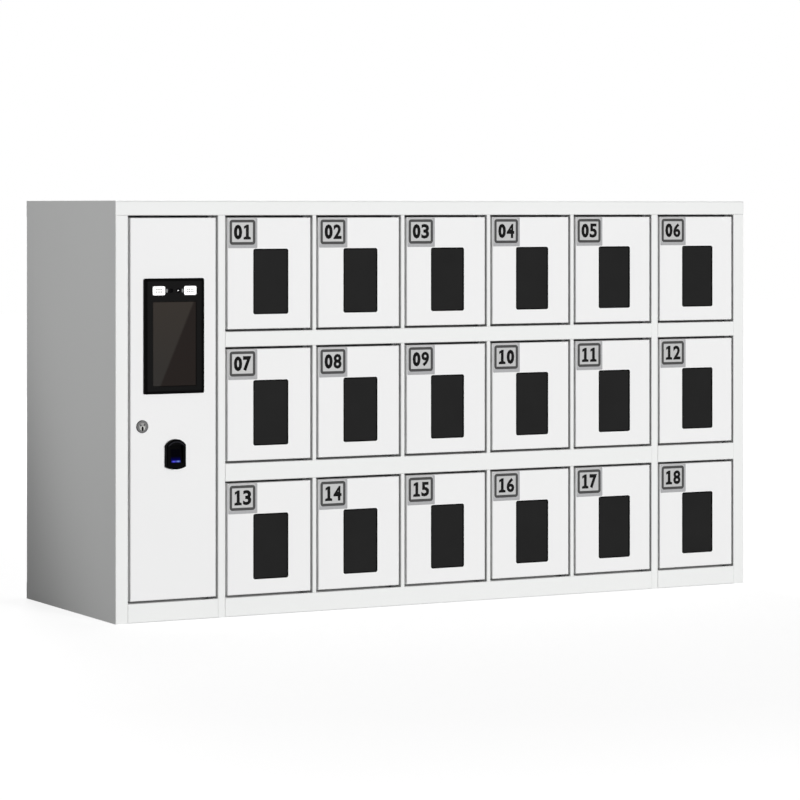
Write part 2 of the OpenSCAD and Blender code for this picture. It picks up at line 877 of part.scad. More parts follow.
module lock_controller() color("#1f6b3a") in_frame() {
    face_x = bay_post_x - standoff;
    difference() {
        union() {
            block([face_x - board_t, board_y, board_z], [face_x, board_y + board_d, board_z + board_h]);
            for (y = [8, board_d - 8], z = [8, board_h - 8]) {
                translate([face_x - 0.5, board_y + y, board_z + z]) {
                    rotate([0, 90, 0]) cylinder(d = 7, h = standoff + 0.5);
                }
            }
            // rows of lead sockets and the processor
            for (k = [0 : 8], y = [16, board_d - 28]) {
                block(
                    [face_x - board_t - socket_h, board_y + y, board_z + 16 + k * 18],
                    [face_x - board_t + 0.5, board_y + y + 12, board_z + 28 + k * 18]
                );
            }
            block(
                [face_x - board_t - 3, board_y + 46, board_z + 80],
                [face_x - board_t + 0.5, board_y + 70, board_z + 104]
            );
        }
        for (y = [8, board_d - 8], z = [8, board_h - 8]) {
            translate([face_x - board_t - 1, board_y + y, board_z + z]) {
                rotate([0, 90, 0]) cylinder(d = 3, h = standoff);
            }
        }
    }
}

module power_inlet() color("#222224") in_frame() {
    flange_w = 50;
    flange_h = 24;
    flange_t = 2.5;
    cavity_w = 24.5;
    cavity_h = 16.5;
    cavity_d = 18;
    translate([inlet_x, 0, inlet_z]) {
        difference() {
            union() {
                along_y(back_y - flange_t, back_y) {
                    translate([-flange_w / 2, -flange_h / 2]) rounded_rect(flange_w, flange_h, 3);
                }
                block(
                    [-inlet_cut_w / 2 + fit_gap, back_y - inlet_d, -inlet_cut_h / 2 + fit_gap],
                    [inlet_cut_w / 2 - fit_gap, cabinet_depth, inlet_cut_h / 2 - fit_gap]
                );
            }
            block(
                [-cavity_w / 2, cabinet_depth - cavity_d, -cavity_h / 2],
                [cavity_w / 2, cabinet_depth + 1, cavity_h / 2]
            );
        }
        for (pin = [[-7, -2], [0, 2], [7, -2]]) {
            block(
                [pin[0] - 1, cabinet_depth - cavity_d - 1, pin[1] - 2],
                [pin[0] + 1, cabinet_depth - 4, pin[1] + 2]
            );
        }
    }
}

// Wiring: straight runs with a tied corner at each turn

lead_d = 6;
loom_d = 12;
mains_d = 7;
duct_mid_y = (inner_back_y + sheet_t + back_y) / 2;
plug_back_y = lock_y + lock_d + plug_d;
sockets_x = bay_post_x - standoff - board_t - socket_h - fit_gap;
sockets_y = board_y + board_d - 22;

module run(p, q, d) {
    v = q - p;
    translate(p) rotate([0, acos(v[2] / norm(v)), atan2(v[1], v[0])]) cylinder(d = d, h = norm(v));
}

module lead(points, d) {
    last = len(points) - 1;
    for (i = [0 : last - 1]) run(points[i], points[i + 1], d);
    for (i = [1 : 1 : last - 1]) translate(points[i]) sphere(d = d + 1);
}

module wiring_loom() color("#2a2a2c") in_frame() {
    mid_z = row_z(1) + open_h / 2;
    // branches from the locks, a run along each row and the riser that joins the rows
    for (r = [0 : rows - 1]) {
        z = row_z(r) + open_h / 2;
        for (c = [0 : columns - 1]) {
            run([plug_x(c), plug_back_y, z], [plug_x(c), duct_mid_y, z], lead_d);
        }
        run([plug_x(0), duct_mid_y, z], [plug_x(columns - 1) + lead_d, duct_mid_y, z], loom_d);
    }
    run(
        [plug_x(0), duct_mid_y, row_z(rows - 1) + open_h / 2 - lead_d],
        [plug_x(0), duct_mid_y, row_z(0) + open_h / 2 + lead_d], loom_d + 2
    );
    // through the partition to the lock controller
    loom_x = sockets_x - loom_d / 2;
    lead([[plug_x(0), duct_mid_y, mid_z], [loom_x, duct_mid_y, mid_z], [loom_x, sockets_y, mid_z]], loom_d);
    // from the mains inlet to the power supply
    strip_z = base_rail_h + 12 + screw_h + fit_gap;
    strip_y = supply_y + supply_d - 14;
    mains_z = strip_z + mains_d / 2;
    turn_y = supply_y + supply_d + 25;
    lead([
        [inlet_x, back_y - inlet_d, inlet_z], [inlet_x, turn_y, inlet_z],
        [inlet_x, turn_y, mains_z], [inlet_x, strip_y, mains_z]
    ], mains_d);
    // from the power supply to the lock controller
    low_z = strip_z + lead_d / 2;
    low_x = supply_x + supply_w - 16;
    up_x = sockets_x - lead_d / 2;
    lead([
        [low_x, strip_y, low_z], [low_x, turn_y, low_z], [up_x, turn_y, low_z],
        [up_x, turn_y, board_z + 22], [up_x, sockets_y, board_z + 22]
    ], lead_d);
}

left_side_panel();
right_side_panel();
top_panel();
bottom_panel();
rear_panel();
bay_partition();
column_dividers();
shelves();
inner_back();
door_locks();
hinge_bushes();
power_supply();
lock_controller();
power_inlet();
wiring_loom();
control_door();
terminal_housing();
terminal_screen();
terminal_lamps();
camera_lenses();
fingerprint_reader();
fingerprint_window();
lock_barrel();
lock_plug();
for (i = [0 : doors - 1]) {
    locker_door(i);
    window_pane(i);
}
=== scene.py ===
# %% [markdown]
# # A phone locker with eighteen doors
#
# The object is a low steel cabinet: a tall control bay on the left and three rows of six small
# doors beside it. Its sheet-metal pieces come ready made as CAD nodes, each at its real place, so
# this lesson only gives them their finishes and adds what a drawing office leaves out: number
# plates, window edging, screw heads and the small features of the face terminal.
#
# The CAD model is loaded first.

# %% Load the cabinet
import math

import bmesh
import bpy
from mathutils import Matrix, Vector


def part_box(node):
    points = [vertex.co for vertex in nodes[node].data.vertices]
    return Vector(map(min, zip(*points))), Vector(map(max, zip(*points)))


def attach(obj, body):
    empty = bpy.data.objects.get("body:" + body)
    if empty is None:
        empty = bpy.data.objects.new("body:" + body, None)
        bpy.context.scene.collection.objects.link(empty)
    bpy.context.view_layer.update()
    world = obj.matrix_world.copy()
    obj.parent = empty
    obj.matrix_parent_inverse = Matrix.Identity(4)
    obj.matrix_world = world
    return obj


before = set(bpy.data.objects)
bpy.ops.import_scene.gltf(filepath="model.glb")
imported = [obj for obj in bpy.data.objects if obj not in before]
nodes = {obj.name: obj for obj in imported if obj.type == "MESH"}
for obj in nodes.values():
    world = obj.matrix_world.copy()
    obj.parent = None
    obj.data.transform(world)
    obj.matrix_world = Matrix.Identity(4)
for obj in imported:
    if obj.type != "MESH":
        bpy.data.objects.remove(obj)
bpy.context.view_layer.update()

DOOR_COUNT = 18
DOORS = [f"door_{number:02d}" for number in range(1, DOOR_COUNT + 1)]

# %% [markdown]
# ## The camera
#
# A photograph with upright verticals is taken with a level camera, and its picture is then shifted
# down to take in the whole cabinet. So the camera isn't tilted: it stands about level with the
# cabinet's top, turned 28 degrees to the right, with a long lens and a vertical shift. Its place
# and lens were fitted to the lines of the doors.

# %% Camera
TURN_RIGHT = 28.03
camera_data = bpy.data.cameras.new("camera")
camera_data.sensor_width = 36
camera_data.lens = 143.73
camera_data.shift_x = 0.0017
camera_data.shift_y = -0.2427
camera_data.clip_end = 100
camera = bpy.data.objects.new("camera", camera_data)
camera.location = (-2.8803, -5.4365, 0.7407)
camera.rotation_euler = (math.radians(90), 0, math.radians(-TURN_RIGHT))
bpy.context.scene.collection.objects.link(camera)
bpy.context.scene.camera = camera
print("camera at", tuple(round(v, 3) for v in camera.location))

# %% [markdown]
# ## Helpers for finishes
#
# Colours are easiest to read as the hex values of a paint program, which are sRGB, while a shader
# works in linear light. One function turns one into the other. A second one adds a node to a
# material: values and links for its inputs go in by name, and anything else is a setting. A third
# one opens a new material and sets the plain values of its shader.

# %% Colour and node helpers
MM = 0.001


def colour(hex_value):
    channels = [int(hex_value[i:i + 2], 16) / 255 for i in (1, 3, 5)]
    linear = [c / 12.92 if c <= 0.04045 else ((c + 0.055) / 1.055) ** 2.4 for c in channels]
    return (*linear, 1.0)


def add_node(tree, kind, inputs=None, **settings):
    node = tree.nodes.new(kind)
    for name, value in settings.items():
        setattr(node, name, value)
    for name, value in (inputs or {}).items():
        if isinstance(value, bpy.types.NodeSocket):
            tree.links.new(value, node.inputs[name])
        else:
            node.inputs[name].default_value = value
    return node


def new_finish(name, **values):
    finish = bpy.data.materials.new(name)
    finish.use_nodes = True
    shader = finish.node_tree.nodes["Principled BSDF"]
    for socket, value in values.items():
        shader.inputs[socket.replace("_", " ")].default_value = value
    return finish, finish.node_tree, shader


print("white paint in linear light:", [round(c, 3) for c in colour("#eeeeee")[:3]])

# %% [markdown]
# ## Powder coat
#
# Folded steel sheet like this is powder coated: dry polyester powder is sprayed on and baked, and
# melts into a skin with a faint orange-peel texture. The real waves are about 2 mm across and a few
# hundredths of a millimetre high, which is why the sheen looks soft rather than like a mirror. A
# fine noise drives the bump, and a slow one, a third of a metre wide, shifts the tone by a hair, as
# a real batch does. An image texture could hold the same, but it would need unwrapped
# surfaces, while noise in the object's own coordinates fits every sheet as it is.

# %% Powder-coated steel
PEEL_MM, PEEL_HEIGHT_MM = 2.2, 0.03
BATCH_MM = 1000 / 3


def powder_coat(name, light_hex, dark_hex):
    finish, tree, shader = new_finish(name, Roughness=0.58, Metallic=0.0)
    place = add_node(tree, "ShaderNodeTexCoord").outputs["Object"]
    slow = add_node(tree, "ShaderNodeTexNoise", {
        "Vector": place, "Scale": 1 / (BATCH_MM * MM), "Detail": 2.0})
    tone = add_node(tree, "ShaderNodeMix", {
        "Factor": slow.outputs["Fac"], "A": colour(dark_hex), "B": colour(light_hex)},
        data_type="RGBA")
    tree.links.new(tone.outputs["Result"], shader.inputs["Base Color"])
    peel = add_node(tree, "ShaderNodeTexNoise", {
        "Vector": place, "Scale": 1 / (PEEL_MM * MM), "Detail": 1.0})
    bump = add_node(tree, "ShaderNodeBump", {
        "Height": peel.outputs["Fac"], "Strength": 0.35, "Distance": PEEL_HEIGHT_MM * MM})
    tree.links.new(bump.outputs["Normal"], shader.inputs["Normal"])
    return finish


cabinet_coat = powder_coat("powder_coat_cabinet", "#f0f1f0", "#ecedec")
door_coat = powder_coat("powder_coat_doors", "#f1f1f1", "#eeeeee")
print("powder coats:", cabinet_coat.name, door_coat.name)

# %% [markdown]
# ## Smoked acrylic and black mouldings
#
# The windows are cast acrylic sheet with a grey-black dye all through it. It is smooth but a little
# soft in its reflections, so it stays dark even against a white room. The terminal and the reader
# are injection-moulded ABS: the terminal's face has a spark-eroded tool texture that breaks the
# shine, and its rim and the reader are glossier. The window edging is extruded rubber, the dullest
# of all. A real tool texture is about a tenth of a millimetre fine, too fine to show here, so the
# grain is drawn about a millimetre across, and the slow unevenness of sheet and gloss some
# centimetres across. All of them are one recipe with other numbers, so one function makes them.

# %% Dark plastics and rubber
TONE_SWING = 0.12


def moulded(name, hex_value, roughness, level, grain_mm, height_mm):
    finish, tree, shader = new_finish(name, Roughness=roughness, Specular_IOR_Level=level)
    base = colour(hex_value)[:3]
    darker = tuple((1 - TONE_SWING) * c for c in base) + (1.0,)
    lighter = tuple(min(1.0, (1 + TONE_SWING) * c) for c in base) + (1.0,)
    place = add_node(tree, "ShaderNodeTexCoord").outputs["Object"]
    grain = add_node(tree, "ShaderNodeTexNoise", {
        "Vector": place, "Scale": 1 / (grain_mm * MM), "Detail": 2.0})
    tone = add_node(tree, "ShaderNodeMix", {
        "Factor": grain.outputs["Fac"], "A": darker, "B": lighter}, data_type="RGBA")
    tree.links.new(tone.outputs["Result"], shader.inputs["Base Color"])
    bump = add_node(tree, "ShaderNodeBump", {
        "Height": grain.outputs["Fac"], "Strength": 0.4, "Distance": height_mm * MM})
    tree.links.new(bump.outputs["Normal"], shader.inputs["Normal"])
    return finish


smoked_acrylic = moulded("smoked_acrylic", "#252525", 0.2, 0.02, 60, 0.01)
edging_rubber = moulded("edging_rubber", "#0e0e0e", 0.62, 0.02, 1.5, 0.02)
abs_front = moulded("textured_abs_front", "#101010", 0.35, 0.015, 1.2, 0.01)
abs_rim = moulded("gloss_abs_rim", "#020202", 0.3, 0.01, 30, 0.005)
reader_abs = moulded("gloss_abs_reader", "#030304", 0.24, 0.015, 25, 0.005)
# Painted light: this grey is the painted highlight of the reader's hood arc and the painted shadow
# in the lock plug's hollows.
painted_light_grey = moulded("painted_highlight_and_shade_grey", "#232329", 0.35, 0.02, 3, 0.005)
cable_pvc = moulded("cable_pvc", "#242427", 0.55, 0.3, 3, 0.05)
inlet_abs = moulded("inlet_thermoplastic", "#1a1a1b", 0.45, 0.3, 1.2, 0.02)
nylon = moulded("grey_nylon", "#49494a", 0.5, 0.1, 1.5, 0.01)
led_grey = moulded("infrared_window_grey", "#6a6c6c", 0.3, 0.3, 6, 0.005)
print("dark mouldings start at", smoked_acrylic.name)

# %% [markdown]
# ## Metals
#
# The cam lock at the front is nickel-plated zinc, and when a door is opened zinc-plated lock cases
# and a pressed aluminium supply show behind it. Plating is a mirror-like film over a slightly
# uneven base, so its roughness varies over a few millimetres. Pressed aluminium keeps the straight
# rolling lines of its sheet. They are finer than a tenth of a millimetre and are drawn a third of a
# millimetre apart so that they show: the same noise makes them, drawn out fifty times along X.

# %% Metals
METAL_RELIEF_MM = 0.01


def metal(name, hex_value, smooth, rough, patch_mm, stretch=(1, 1, 1)):
    finish, tree, shader = new_finish(name, Metallic=1.0)
    shader.inputs["Base Color"].default_value = colour(hex_value)
    place = add_node(tree, "ShaderNodeTexCoord").outputs["Object"]
    turn = add_node(tree, "ShaderNodeMapping", {"Vector": place, "Scale": stretch})
    patch = add_node(tree, "ShaderNodeTexNoise", {
        "Vector": turn.outputs["Vector"], "Scale": 1 / (patch_mm * MM), "Detail": 3.0})
    spread = add_node(tree, "ShaderNodeMapRange", {
        "Value": patch.outputs["Fac"], "To Min": smooth, "To Max": rough})
    tree.links.new(spread.outputs["Result"], shader.inputs["Roughness"])
    bump = add_node(tree, "ShaderNodeBump", {
        "Height": patch.outputs["Fac"], "Strength": 0.3, "Distance": METAL_RELIEF_MM * MM})
    tree.links.new(bump.outputs["Normal"], shader.inputs["Normal"])
    return finish


zinc_plate = metal("zinc_plated_steel", "#b4b8bc", 0.3, 0.48, 6)
rolled_aluminium = metal("rolled_aluminium", "#8e9092", 0.42, 0.6, 0.35, (0.02, 1, 1))
# Painted reflection: the lock's nickel is drawn much darker than bare nickel, in place of the dark
# room that plating would mirror and the white studio lacks.
nickel_plate = metal("nickel_plate", "#3b3b3b", 0.22, 0.4, 2.2)
plug_nickel = metal("nickel_plate_plug", "#525251", 0.22, 0.4, 1.6)
# Painted light: a paler nickel for the lower half of the plug's face, as where light falls on it.
painted_light_nickel = metal("nickel_painted_light", "#747472", 0.2, 0.3, 2)
screw_zinc = metal("bright_zinc_screw", "#c9ccd0", 0.22, 0.36, 1.5)
print("metals:", zinc_plate.name, rolled_aluminium.name, nickel_plate.name)

# %% [markdown]
# ## The terminal's screen
#
# A switched-off display under cover glass isn't plain black: the panel below it looks warm grey,
# and in the photograph a paler sheet of light lies over its upper left, with a straight slanting
# edge. A real reflection could make it, but it would need a panel in just the right place and would
# wander with the view. So it is painted with the object's own coordinates: a dot product with a
# direction measures how far a point lies across the slant, and a narrow ramp turns it into an edge.

# %% Screen finish
SLANT_TOP, SLANT_BOTTOM = (0.93, 0.97), (0.20, 0.03)
SOFT_BEFORE_MM, SOFT_AFTER_MM = 3.5, 2
low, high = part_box("terminal_screen")
width, height = high.x - low.x, high.z - low.z
upper, lower = [Vector((low.x + across_share * width, 0, low.z + up_share * height))
                for across_share, up_share in (SLANT_TOP, SLANT_BOTTOM)]
along = (upper - lower).normalized()
across = Vector((along.z, 0, -along.x))
edge = across.dot(lower)

screen_glass, tree, shader = new_finish(
    "display_under_glass", Roughness=0.2, Specular_IOR_Level=0.01)
place = add_node(tree, "ShaderNodeTexCoord").outputs["Object"]
dot = add_node(tree, "ShaderNodeVectorMath", {0: place, 1: across}, operation="DOT_PRODUCT")
side = add_node(tree, "ShaderNodeMapRange", {
    "Value": dot.outputs["Value"], "From Min": edge - SOFT_BEFORE_MM * MM,
    "From Max": edge + SOFT_AFTER_MM * MM}, interpolation_type="SMOOTHSTEP")
parts = add_node(tree, "ShaderNodeSeparateXYZ", {"Vector": place})
rise = add_node(tree, "ShaderNodeMapRange", {
    "Value": parts.outputs["Z"], "From Min": low.z, "From Max": high.z})
lit = add_node(tree, "ShaderNodeMix", {
    "Factor": rise.outputs["Result"], "A": colour("#353331"), "B": colour("#3b3632")},
    data_type="RGBA")
mix = add_node(tree, "ShaderNodeMix", {
    "Factor": side.outputs["Result"], "A": lit.outputs["Result"], "B": colour("#282321")},
    data_type="RGBA")
tree.links.new(mix.outputs["Result"], shader.inputs["Base Color"])
print("screen", round(width / MM, 1), "x", round(height / MM, 1), "mm")

# %% [markdown]
# ## Lamps and lenses
#
# The fill lamps are milky polycarbonate over small LEDs, so they look white even when the lamp is
# dim; a little light of their own keeps them from turning grey. The camera lenses are coated glass,
# almost black, with hardly any grain. Clear glass over a modelled sensor would be truer inside, but
# from outside it looks the same, so the lenses are solid.

# %% Lamp and lens finishes
CLOUD_MM = 5
# The same glowing white also draws the lens's painted glint.
lamp_and_glint_white, tree, shader = new_finish("milky_polycarbonate_and_painted_glint", Roughness=0.3)
place = add_node(tree, "ShaderNodeTexCoord").outputs["Object"]
cloud = add_node(tree, "ShaderNodeTexNoise", {"Vector": place, "Scale": 1 / (CLOUD_MM * MM)})
milk = add_node(tree, "ShaderNodeMix", {
    "Factor": cloud.outputs["Fac"], "A": colour("#f6f7f6"), "B": colour("#ffffff")},
    data_type="RGBA")
tree.links.new(milk.outputs["Result"], shader.inputs["Base Color"])
shader.inputs["Emission Color"].default_value = colour("#ffffff")
shader.inputs["Emission Strength"].default_value = 0.25

chip_white = moulded("led_chip_white", "#8f908c", 0.4, 0.1, 2, 0.005)
lens_glass = moulded("coated_lens_glass", "#040405", 0.1, 0.03, 20, 0.002)
print("lamp and lens:", lamp_and_glint_white.name, lens_glass.name)

# %% [markdown]
# ## The reader's blue light
#
# Under the reader's glass a row of blue LEDs shines along its lower edge. The bar is about 5 mm
# high and 2 cm long, and a faint blue haze reaches 9 mm above it. Lamps behind real glass could
# make it, but so small a light would be noisy in the render. So the glass itself gives off light,
# and ramps over its coordinates say where. The first two go by the height above the bar.

# %% Sensor glass, and the light by its height
BAR_LIFT_MM, BAR_HALF_MM, HAZE_MM, HAZE_LEVEL = 2.5, 2.4, 9, 0.09
low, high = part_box("fingerprint_window")
bar_x, bar_z = (low.x + high.x) / 2, low.z + BAR_LIFT_MM * MM

sensor_glass, tree, shader = new_finish(
    "sensor_glass_blue_light", Roughness=0.15, Specular_IOR_Level=0.01)
shader.inputs["Base Color"].default_value = colour("#020203")
place = add_node(tree, "ShaderNodeTexCoord").outputs["Object"]
parts = add_node(tree, "ShaderNodeSeparateXYZ", {"Vector": place})

above = add_node(tree, "ShaderNodeMath", {0: parts.outputs["Z"], 1: bar_z}, operation="SUBTRACT")
apart = add_node(tree, "ShaderNodeMath", {0: above.outputs[0]}, operation="ABSOLUTE")
near = add_node(tree, "ShaderNodeMapRange", {
    "Value": apart.outputs[0], "From Min": 0.0, "From Max": BAR_HALF_MM * MM,
    "To Min": 1.0, "To Max": 0.0}, interpolation_type="SMOOTHSTEP")
wide = add_node(tree, "ShaderNodeMapRange", {
    "Value": apart.outputs[0], "From Min": 0.0, "From Max": HAZE_MM * MM,
    "To Min": HAZE_LEVEL, "To Max": 0.0}, interpolation_type="SMOOTHSTEP")
print("blue bar at height", round(bar_z, 4), "m")

# %% [markdown]
# ## Along the bar
#
# Along the bar the single LEDs show: it dims in the gap between two of them, grows a little paler
# to the right, and fades out at both ends. A cosine makes the gaps, and two ramps the rest. The
# bar's height, its ends and its gaps are multiplied, so that the light stays inside all three. The
# colours are then mixed from dark to haze to LEDs.

# %% The light along the bar, and its colours
LED_PITCH_MM, LED_GAP_LEVEL = 9, 0.5
PALE_FROM_MM, PALE_TO_MM = -2, 3
BAR_FULL_MM, BAR_END_MM = 5, 11
beside = add_node(tree, "ShaderNodeMath", {0: parts.outputs["X"], 1: bar_x}, operation="SUBTRACT")
turns = add_node(tree, "ShaderNodeMath", {
    0: beside.outputs[0], 1: 2 * math.pi / (LED_PITCH_MM * MM)}, operation="MULTIPLY")
wave = add_node(tree, "ShaderNodeMath", {0: turns.outputs[0]}, operation="COSINE")
gaps = add_node(tree, "ShaderNodeMapRange", {
    "Value": wave.outputs[0], "From Min": -1.0, "From Max": 1.0,
    "To Min": 1.0, "To Max": LED_GAP_LEVEL})
paler = add_node(tree, "ShaderNodeMapRange", {
    "Value": beside.outputs[0], "From Min": PALE_FROM_MM * MM,
    "From Max": PALE_TO_MM * MM})
reach = add_node(tree, "ShaderNodeMath", {0: beside.outputs[0]}, operation="ABSOLUTE")
ends = add_node(tree, "ShaderNodeMapRange", {
    "Value": reach.outputs[0], "From Min": BAR_FULL_MM * MM, "From Max": BAR_END_MM * MM,
    "To Min": 1.0, "To Max": 0.0}, interpolation_type="SMOOTHSTEP")

bar = add_node(tree, "ShaderNodeMath", {0: near.outputs[0], 1: ends.outputs[0]},
               operation="MULTIPLY")
glow = add_node(tree, "ShaderNodeMath", {0: bar.outputs[0], 1: gaps.outputs[0]},
                operation="MULTIPLY")
haze = add_node(tree, "ShaderNodeMix", {
    "Factor": wide.outputs[0], "A": colour("#000004"), "B": colour("#0000ff")},
    data_type="RGBA")
leds = add_node(tree, "ShaderNodeMix", {
    "Factor": paler.outputs[0], "A": colour("#5c5cf4"), "B": colour("#7288dc")},
    data_type="RGBA")
blue = add_node(tree, "ShaderNodeMix", {
    "Factor": glow.outputs[0], "A": haze.outputs["Result"], "B": leds.outputs["Result"]},
    data_type="RGBA")
tree.links.new(blue.outputs["Result"], shader.inputs["Emission Color"])
shader.inputs["Emission Strength"].default_value = 1.0
print("blue bar", 2 * BAR_END_MM, "mm long, an LED every", LED_PITCH_MM, "mm")

# %% [markdown]
# ## The lock controller's board
#
# The board is one CAD solid, but a real one is green glass fibre with ivory sockets and brass
# standoffs. The three lie in layers across the cabinet, so the X coordinate alone can tell them
# apart: standoffs nearest the partition, then the board, then the sockets. Splitting
# the solid would give each its own material, but a CAD node stays whole, so one material holds all
# three. The green has a faint brick pattern, 8 mm long, in place of its tracks.

# %% Board finish
BOARD_BACK_MM, BOARD_FRONT_MM = 10.2, 11.8
BRICK_MM, BRICK_WIDTH = 25 / 3, 0.5
low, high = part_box("lock_controller")
board_finish, tree, shader = new_finish("glass_fibre_board", Roughness=0.45)
place = add_node(tree, "ShaderNodeTexCoord").outputs["Object"]
parts = add_node(tree, "ShaderNodeSeparateXYZ", {"Vector": place})
tracks = add_node(tree, "ShaderNodeTexBrick", {
    "Vector": place, "Scale": BRICK_WIDTH / (BRICK_MM * MM), "Mortar Size": 0.03,
    "Color1": colour("#1f5f35"), "Color2": colour("#1a552e"), "Mortar": colour("#2f7d48")})
beyond_board = add_node(tree, "ShaderNodeMath", {
    0: parts.outputs["X"], 1: high.x - BOARD_BACK_MM * MM}, operation="GREATER_THAN")
before_board = add_node(tree, "ShaderNodeMath", {
    0: parts.outputs["X"], 1: high.x - BOARD_FRONT_MM * MM}, operation="LESS_THAN")
brass = add_node(tree, "ShaderNodeMix", {
    "Factor": beyond_board.outputs[0], "A": tracks.outputs["Color"], "B": colour("#b08d4a")},
    data_type="RGBA")
ivory = add_node(tree, "ShaderNodeMix", {
    "Factor": before_board.outputs[0], "A": brass.outputs["Result"], "B": colour("#dfdccf")},
    data_type="RGBA")
tree.links.new(ivory.outputs["Result"], shader.inputs["Base Color"])
print("board layers end at", round(high.x, 4), "m")

# %% [markdown]
# ## Finishes on the CAD nodes
#
# Each CAD node keeps its shape and only gets a material, put into its own material slot. Doors and
# windows go by their names and fifteen others by a table, which is shorter than a line for each of
# the sixty nodes. All the rest is cabinet sheet.

# %% Dress the CAD nodes
finishes = {
    "control_door": door_coat, "door_locks": zinc_plate, "hinge_bushes": nylon,
    "power_supply": rolled_aluminium, "lock_controller": board_finish, "power_inlet": inlet_abs,
    "wiring_loom": cable_pvc, "terminal_housing": abs_front, "terminal_screen": screen_glass,
    "terminal_lamps": lamp_and_glint_white, "camera_lenses": lens_glass, "fingerprint_reader": reader_abs,
    "fingerprint_window": sensor_glass, "lock_barrel": nickel_plate, "lock_plug": plug_nickel,
}
for name, node in nodes.items():
    if name in DOORS:
        finish = door_coat
    elif name.startswith("window_"):
        finish = smoked_acrylic
    else:
        finish = finishes.get(name, cabinet_coat)
    for slot in node.material_slots:
        slot.material = finish
print("dressed", len(nodes), "nodes")

# %% [markdown]
# ## Helpers for new pieces
#
# Labels, edgings and rims are all flat shapes with a little thickness. Modifiers could make them
# from planes, but a bmesh gives the finished mesh at once and is easy to follow. One face is scaled
# to size and its corners are rounded by a vertex bevel; an inset face that is taken out makes a
# ring of it; and an extrusion towards +Z gives it thickness, with a rounded front edge if asked.

# %% Flat shapes
CORNER_STEPS, EDGE_STEPS, SHARP_ANGLE = 5, 2, 1.0


def flat_shape(width, height, corner):
    bm = bmesh.new()
    bmesh.ops.create_grid(bm, x_segments=1, y_segments=1, size=0.5)
    bmesh.ops.scale(bm, vec=(width * MM, height * MM, 1), verts=bm.verts)
    if corner:
        bmesh.ops.bevel(
            bm, geom=list(bm.verts), offset=corner * MM, offset_type="OFFSET",
            affect="VERTICES", segments=CORNER_STEPS, profile=0.5, material=-1)
    return bm


def cut_inside(bm, border):
    bmesh.ops.inset_region(
        bm, faces=list(bm.faces), thickness=border * MM, use_boundary=True, use_even_offset=True)
    middle = min(bm.faces, key=lambda face: face.calc_center_median().length)
    bmesh.ops.delete(bm, geom=[middle], context="FACES")


def thicken(bm, depth, edge=0.0):
    grown = bmesh.ops.extrude_face_region(bm, geom=list(bm.faces))
    top = [item for item in grown["geom"] if isinstance(item, bmesh.types.BMVert)]
    bmesh.ops.translate(bm, vec=(0, 0, depth * MM), verts=top)
    bmesh.ops.recalc_face_normals(bm, faces=bm.faces)
    if edge:
        rim = [e for e in bm.edges if len(e.link_faces) == 2 and e.calc_face_angle() > SHARP_ANGLE
               and all(v.co.z > 0.5 * depth * MM for v in e.verts)]
        bmesh.ops.bevel(
            bm, geom=rim, offset=edge * MM, offset_type="OFFSET", affect="EDGES",
            segments=EDGE_STEPS, profile=0.5, material=-1)


print("round corners in", CORNER_STEPS, "steps, edges in", EDGE_STEPS)

# %% [markdown]
# ## Putting a piece in its place
#
# A flat shape is drawn lying down, so it is stood up to face the front and moved to its place. That
# could be done with the object's location, but then every piece would have an origin of its own. It
# is done in the mesh instead, and the object stays at the origin. Each piece then rides on the body
# that carries it, so that a door takes its label along. The plane of the cabinet's front is found
# from its back, because the face terminal stands out in front of it.

# %% Placing helpers
STAND_UP = Matrix.Rotation(math.radians(90), 4, "X")
CABINET_DEPTH = 430


def at_front(x, y, z):
    return Matrix.Translation((x, y, z)) @ STAND_UP


def add_piece(name, bm, finish, body, place):
    bmesh.ops.transform(bm, matrix=place, verts=bm.verts)
    bmesh.ops.recalc_face_normals(bm, faces=bm.faces)
    mesh = bpy.data.meshes.new(name)
    bm.to_mesh(mesh)
    bm.free()
    mesh.materials.append(finish)
    piece = bpy.data.objects.new(name, mesh)
    bpy.context.scene.collection.objects.link(piece)
    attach(piece, body)


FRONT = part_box("rear_panel")[1].y - CABINET_DEPTH * MM
print("the cabinet's front lies at y =", round(FRONT, 4))

# %% [markdown]
# ## Window edging
#
# A cut-out in thin sheet has a sharp edge, so a slim black rubber edging is pushed on all round it.
# It makes the darker line round each window. A profile swept along a curve could make it, but a
# flat ring with softly rounded front edges looks the same and has far fewer faces. It is as thick
# as the door's sheet and a hair more. The cut-out is the pane less its lap all round.

# %% Window edging
PANE_LAP, DOOR_SHEET = 9, 1.0
EDGING_W, EDGING_T, EDGING_CORNER, EDGING_ROUND = 2.4, 1.25, 4, 0.2
for number, door in enumerate(DOORS, start=1):
    low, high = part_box(f"window_{number:02d}")
    wide = (high.x - low.x) / MM - 2 * PANE_LAP
    tall = (high.z - low.z) / MM - 2 * PANE_LAP
    ring = flat_shape(wide, tall, EDGING_CORNER)
    cut_inside(ring, EDGING_W)
    thicken(ring, EDGING_T, edge=EDGING_ROUND)
    middle = (low + high) / 2
    add_piece(f"window_edging_{number:02d}", ring, edging_rubber, door,
              at_front(middle.x, FRONT + DOOR_SHEET * MM, middle.z))
print("window", round(wide, 1), "x", round(tall, 1), "mm, edging", EDGING_W, "mm")
